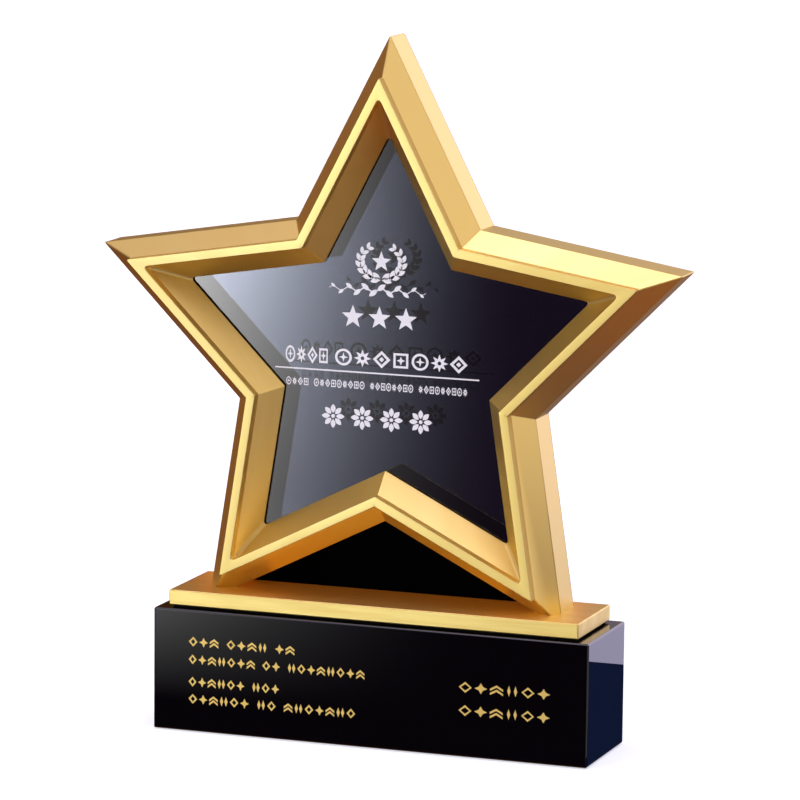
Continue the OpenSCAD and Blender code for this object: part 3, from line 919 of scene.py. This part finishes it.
studio = {"floorSize": 30, "floorColour": rgb(0.86, 0.86, 0.87), "floorGlow": 0.56,
          "ambient": (0.006, 0.006, 0.030), "background": (0.95, 0.95, 0.96)}
# each glow: direction, sharpness, colour
glows = [((0.0, -0.10, 1.0), 16, (3.60, 3.50, 5.20)),
         ((0.10, -0.25, 0.95), 4, (0.42, 0.26, 0.08)),
         ((0.95, -0.20, 0.25), 6, (1.20, 1.10, 1.25)),
         ((0.36, 0.93, 0.12), 14, (1.45, 1.36, 2.10)),
         ((0.335, 0.93, -0.16), 24, (0.50, 0.50, 0.60)),
         ((0.05, 0.95, 0.28), 30, (1.40, 1.25, 1.15)),
         ((-0.95, 0.30, 0.10), 4, (0.24, 0.09, 0.01)),
         ((0.10, 0.10, -1.0), 4, (0.40, 0.12, 0.00))]


def addFloor():
    size = studio["floorSize"] / 2
    mesh = bpy.data.meshes.new("floor")
    corners = [(-size, -size, 0), (size, -size, 0), (size, size, 0), (-size, size, 0)]
    mesh.from_pydata(corners, [], [(0, 1, 2, 3)])
    floor = bpy.data.objects.new("floor", mesh)
    bpy.context.scene.collection.objects.link(floor)
    material, graph = newMaterial("floor_paper")
    grain = graph.noise(objectPoint(graph), 40, 2)
    colour = graph.mixColour(grain, studio["floorColour"], rgb(0.88, 0.88, 0.88))
    finishMaterial(graph, graph.add("ShaderNodeBsdfPrincipled", {}, {
        "Base Color": colour, "Roughness": 0.9, "Specular IOR Level": 0.1,
        "Emission Color": rgb(0.90, 0.96, 1.0), "Emission Strength": studio["floorGlow"]}))
    mesh.materials.append(material)
    floor.visible_glossy = False
    floor.visible_transmission = False


# cards that only show as reflections: a dark blue one beside the block, and a brown one behind to the left
cards = {"navy_card": {"colour": rgb(0.02, 0.035, 0.12), "corner": (0.0955, -0.03, 0.0003),
                       "sides": ((0.0695, 0, 0), (0, 0.198, 0))},
         "umber_card": {"colour": rgb(0.10, 0.04, 0.008), "corner": (-0.65, 0.35, -0.10),
                        "sides": ((0.53, 0, 0), (0, 0, 0.80))}}


def addCard(name, look):
    mesh = bpy.data.meshes.new(name)
    start = Vector(look["corner"])
    first, second = [Vector(side) for side in look["sides"]]
    mesh.from_pydata([start, start + first, start + first + second, start + second], [], [(0, 1, 2, 3)])
    piece = bpy.data.objects.new(name, mesh)
    bpy.context.scene.collection.objects.link(piece)
    material, graph = newMaterial(name)
    finishMaterial(graph, graph.add("ShaderNodeEmission", {}, {"Color": look["colour"]}))
    mesh.materials.append(material)
    for kind in ("camera", "diffuse", "transmission", "volume_scatter", "shadow"):
        setattr(piece, "visible_" + kind, False)


def addSky():
    world = bpy.data.worlds.new("studio")
    bpy.context.scene.world = world
    world.use_nodes = True
    world.node_tree.nodes.clear()
    graph = Graph(world.node_tree)
    direction = graph.add("ShaderNodeTexCoord").out("Generated")
    total = [graph.value(c) for c in studio["ambient"]]
    for toward, sharpness, colour in glows:
        toward = Vector(toward).normalized()
        facing = graph.add("ShaderNodeVectorMath", {"operation": "DOT_PRODUCT"},
                           {0: direction, 1: toward}).out("Value")
        strength = ((facing - 1) * sharpness).math("EXPONENT")
        total = [total[c] + strength * colour[c] for c in range(3)]
    sky = graph.add("ShaderNodeCombineColor", {}, dict(enumerate(total)))
    seen = graph.add("ShaderNodeLightPath").out("Is Camera Ray")
    colour = graph.mixColour(seen, sky, rgb(*studio["background"]))
    light = graph.add("ShaderNodeBackground", {}, {"Color": colour})
    graph.add("ShaderNodeOutputWorld", {}, {"Surface": light})


# a softbox in front to the left: brightest at its far left, fading out to the right and downwards
softbox = {"left": -0.75, "right": -0.135, "bottom": -0.135, "top": 0.50, "y": -0.60, "strength": 3.4,
           "sideFade": {"width": 0.2, "power": 2.7},
           "lowFade": {"from": (-0.13, -0.07), "power": 1.3, "share": 0.42},
           "highFade": {"from": (-0.02, 0.12), "power": 1.2, "share": 0.58}}


def addSoftbox():
    lamp = bpy.data.lights.new("softbox", "AREA")
    lamp.shape = "RECTANGLE"
    lamp.size, lamp.size_y = softbox["right"] - softbox["left"], softbox["top"] - softbox["bottom"]
    lamp.energy = 1
    lamp.use_nodes = True
    lamp.node_tree.nodes.clear()
    graph = Graph(lamp.node_tree)
    place = graph.add("ShaderNodeNewGeometry").out("Position")
    place = graph.add("ShaderNodeSeparateXYZ", {}, {"Vector": place})
    side = softbox["sideFade"]
    inner, outer = softbox["right"], softbox["right"] - side["width"]
    fade = graph.mapRange(place.out("X"), inner, outer, 0, 1) ** side["power"]
    low, high = softbox["lowFade"], softbox["highFade"]
    drop = graph.mapRange(place.out("Z"), *low["from"], 0, 1) ** low["power"] * low["share"] \
        + graph.mapRange(place.out("Z"), *high["from"], 0, 1) ** high["power"] * high["share"]
    power = softbox["strength"] * lamp.size * lamp.size_y * math.pi
    glow = graph.add("ShaderNodeEmission", {}, {"Color": rgb(1, 1, 1), "Strength": fade * drop * power})
    graph.add("ShaderNodeOutputLight", {}, {"Surface": glow})
    holder = bpy.data.objects.new("softbox", lamp)
    bpy.context.scene.collection.objects.link(holder)
    holder.location = ((softbox["left"] + softbox["right"]) / 2, softbox["y"],
                       (softbox["bottom"] + softbox["top"]) / 2)
    holder.rotation_euler = (math.radians(90), 0, 0)
    return holder


# lamps that light only some of the gold. A sun comes from its side and is that many degrees wide; a panel
# stands in its place, and faces the way it is turned
goldLamps = {
    "front": {"kind": "SUN", "toward": (-0.55, -0.83, 0.0), "width": 44, "strength": 1.42,
              "colour": (0.86, 0.90, 0.96), "lights": ["gold_rim", "gold_plate"]},
    "behind": {"kind": "AREA", "turn": -90, "place": (-0.035, 0.10, plateHigh.z + 0.045),
               "size": (0.17, 0.09), "strength": 0.80, "colour": (1.0, 0.28, 0.01), "lights": ["gold_plate"]},
    "left": {"kind": "AREA", "turn": 90, "place": (-0.26, -0.30, 0.13), "size": (0.16, 0.16),
             "strength": 1.5, "colour": (0.10, 0.25, 1.0), "lights": ["gold_rim"]},
    "under": {"kind": "AREA", "turn": 180, "place": (0, -0.003, plateHigh.z + 0.001), "size": (0.10, 0.034),
              "strength": 0.25, "colour": (1.0, 0.40, 0.01), "lights": ["gold_rim"]}}


def addGoldLamps():
    for name, look in goldLamps.items():
        lamp = bpy.data.lights.new(name + "_lamp", look["kind"])
        lamp.color = look["colour"]
        holder = bpy.data.objects.new(name + "_lamp", lamp)
        bpy.context.scene.collection.objects.link(holder)
        if look["kind"] == "SUN":
            lamp.angle, lamp.energy = math.radians(look["width"]), look["strength"]
            holder.rotation_euler = Vector(look["toward"]).to_track_quat("Z", "Y").to_euler()
        else:
            lamp.shape = "RECTANGLE"
            lamp.size, lamp.size_y = look["size"]
            lamp.energy = look["strength"] * lamp.size * lamp.size_y * math.pi
            holder.location = look["place"]
            holder.rotation_euler = (math.radians(look["turn"]), 0, 0)
            holder.visible_camera = False
            shade = bpy.data.collections.new(name + "_shade")  # nothing but the floor shades a panel
            shade.objects.link(bpy.data.objects["floor"])
            holder.light_linking.blocker_collection = shade
        lit = bpy.data.collections.new(name + "_lit")
        for piece in look["lights"]:
            lit.objects.link(bpy.data.objects[piece])
        holder.light_linking.receiver_collection = lit


def keepOffGold(lamp):  # the lamp lights everything but the gold
    others = bpy.data.collections.new("not_gold")
    for piece in bpy.context.scene.objects:
        if piece.type == "MESH" and not piece.name.startswith("gold_"):
            others.objects.link(piece)
    lamp.light_linking.receiver_collection = others


addFloor()
for name, look in cards.items():
    addCard(name, look)
addSky()
keepOffGold(addSoftbox())
addGoldLamps()
bpy.context.scene.view_settings.view_transform = "Standard"
print("stage set")
